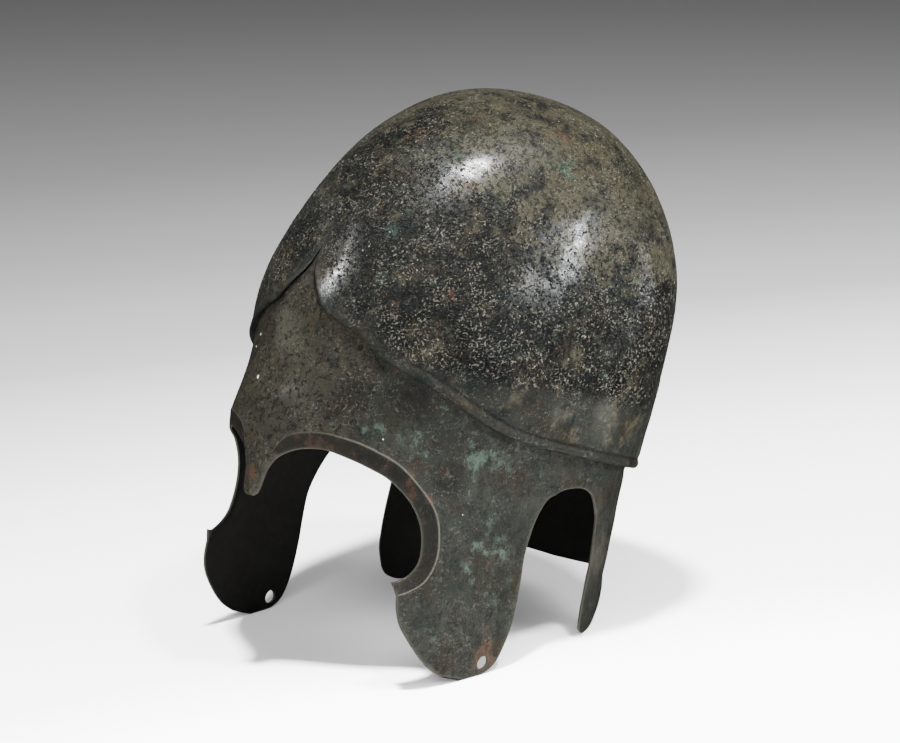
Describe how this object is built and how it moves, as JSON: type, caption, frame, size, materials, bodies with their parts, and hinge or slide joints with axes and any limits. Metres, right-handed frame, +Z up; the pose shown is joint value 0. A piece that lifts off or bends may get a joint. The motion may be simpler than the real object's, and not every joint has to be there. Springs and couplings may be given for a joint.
{
  "type": "chalcidian helmet",
  "caption": "Open-faced ancient bronze helmet with a raised domed skull, stepped ridge, short nose guard, rounded cheek guards, ear arches and a neck guard.",
  "frame": {"origin": "middle of the helmet's footprint, on the surface it stands on", "axes": "+Z up, -Y toward the face, +X toward the wearer's left; the helmet leans back as it stands"},
  "size_m": [0.196, 0.2616, 0.2801],
  "materials": {
    "dark_bronze": "dark pitted patina, semi-gloss",
    "green_bronze": "smooth grey-green patina, satin",
    "brown_bronze": "brown-green patina, satin"
  },
  "bodies": {
    "root": {"skull_dome": "dark_bronze", "brow_plate": "brown_bronze", "nose_guard": "brown_bronze", "left_eye_rim": "brown_bronze", "right_eye_rim": "brown_bronze", "left_side_wall": "green_bronze", "right_side_wall": "green_bronze", "left_cheek_guard": "green_bronze", "right_cheek_guard": "green_bronze", "neck_guard": "green_bronze"}
  },
  "joints": []
}
